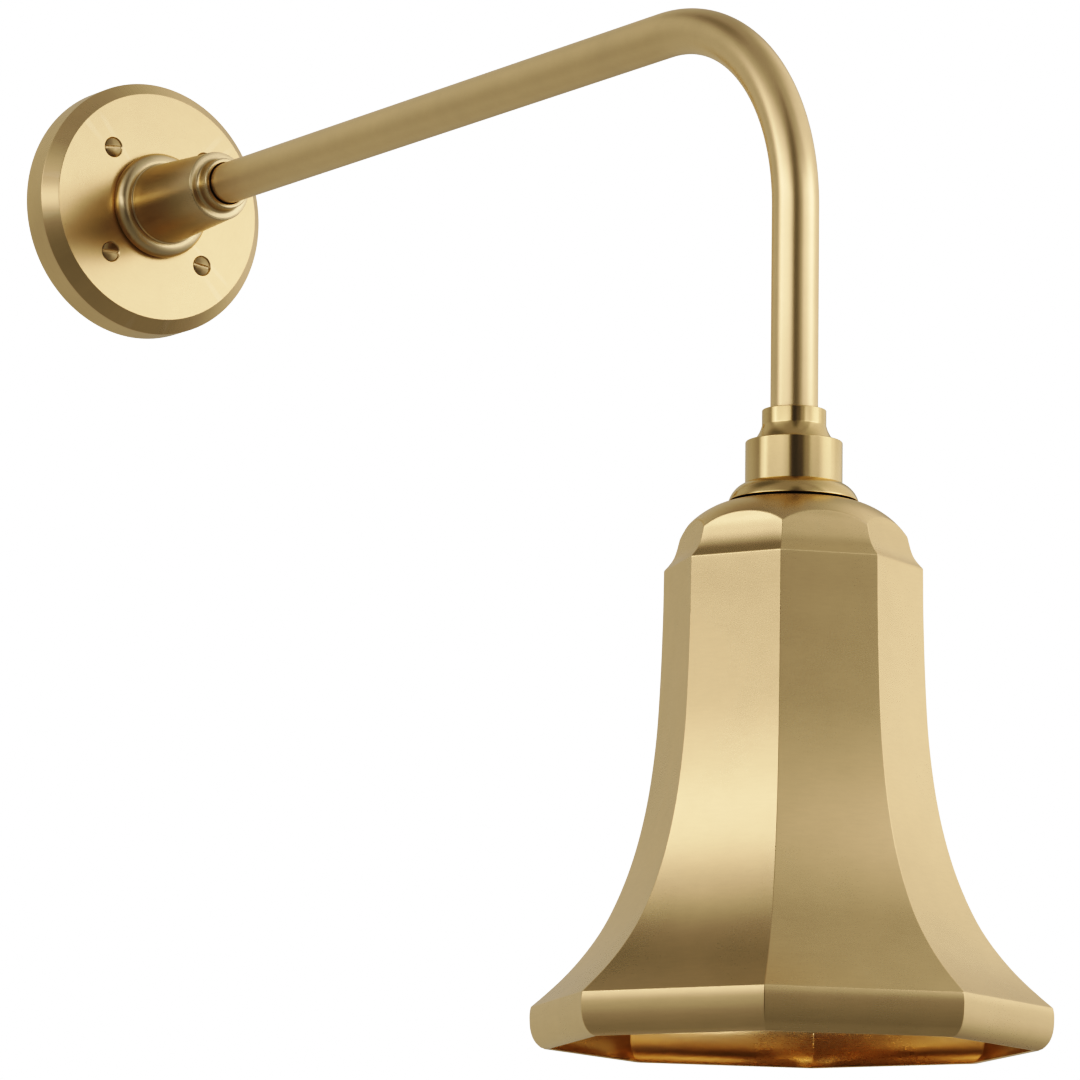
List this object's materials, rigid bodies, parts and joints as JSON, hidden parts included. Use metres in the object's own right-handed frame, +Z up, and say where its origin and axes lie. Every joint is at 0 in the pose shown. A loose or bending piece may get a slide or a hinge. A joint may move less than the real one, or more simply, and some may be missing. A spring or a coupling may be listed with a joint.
{
  "type": "gooseneck wall sconce",
  "caption": "Satin brass gooseneck wall sconce: round wall plate, straight arm with a bend, and an octagonal bell shade hanging over a screw-in bulb.",
  "frame": {"origin": "centre of the wall plate's back, on the wall plane, midway between the two wall-box screws", "axes": "+Y into the wall, so the arm reaches out along -Y; +Z up; +X to the right for someone facing the wall"},
  "size_m": [0.206, 0.6165, 0.4875],
  "materials": {
    "satin_brass": "satin, fine brushed grain, aged",
    "screw_brass": "darkened brass, slotted heads",
    "raw_brass": "plain turned brass",
    "zinc_steel": "zinc plated",
    "green_steel": "green dyed plating",
    "tinned_metal": "tinned",
    "shell_aluminium": "pressed shell",
    "black_plastic": "moulded phenolic",
    "connector_plastic": "moulded nylon",
    "gasket_rubber": "matt",
    "liner_card": "pressed fibre sleeve",
    "black_insulation": "silicone insulation",
    "white_insulation": "silicone insulation",
    "green_insulation": "silicone insulation",
    "clear_glass": "clear",
    "filament_yellow": "coated filament sticks"
  },
  "bodies": {
    "fixture": {"wall_plate": "satin_brass", "plate_screws": "screw_brass", "mounting_plate": "zinc_steel", "plate_standoffs": "zinc_steel", "ground_screw": "green_steel", "ground_terminals": "tinned_metal", "ground_wire": "green_insulation", "wall_lock_washer": "zinc_steel", "wall_lock_nut": "zinc_steel", "wall_nipple": "zinc_steel", "wire_bushing": "black_plastic", "boss_bead": "satin_brass", "arm_boss": "satin_brass", "arm_tube": "satin_brass", "arm_plug_wall": "raw_brass", "arm_plug_lamp": "raw_brass", "lamp_collar": "satin_brass", "shade_holder": "satin_brass", "shade_gasket": "gasket_rubber", "lamp_nipple": "zinc_steel", "shade": "satin_brass", "shade_washer": "raw_brass", "shade_lock_nut": "zinc_steel", "socket_cap": "raw_brass", "socket_shell": "raw_brass", "socket_liner": "liner_card", "socket_body": "black_plastic", "screw_shell": "shell_aluminium", "centre_contact": "raw_brass", "terminal_screws": "raw_brass", "wire_line": "black_insulation", "wire_neutral": "white_insulation", "wire_connectors": "connector_plastic"},
    "bulb": {"bulb_cap": "shell_aluminium", "bulb_insulator": "black_plastic", "bulb_contact": "tinned_metal", "bulb_glass": "clear_glass", "bulb_stem": "clear_glass", "bulb_filaments": "filament_yellow", "filament_frames": "tinned_metal"}
  },
  "joints": [
    {"name": "bulb_unscrew", "type": "slide", "parent": "fixture", "child": "bulb", "axis": [0, 0, -1], "range_m": [0, 0.03]}
  ]
}
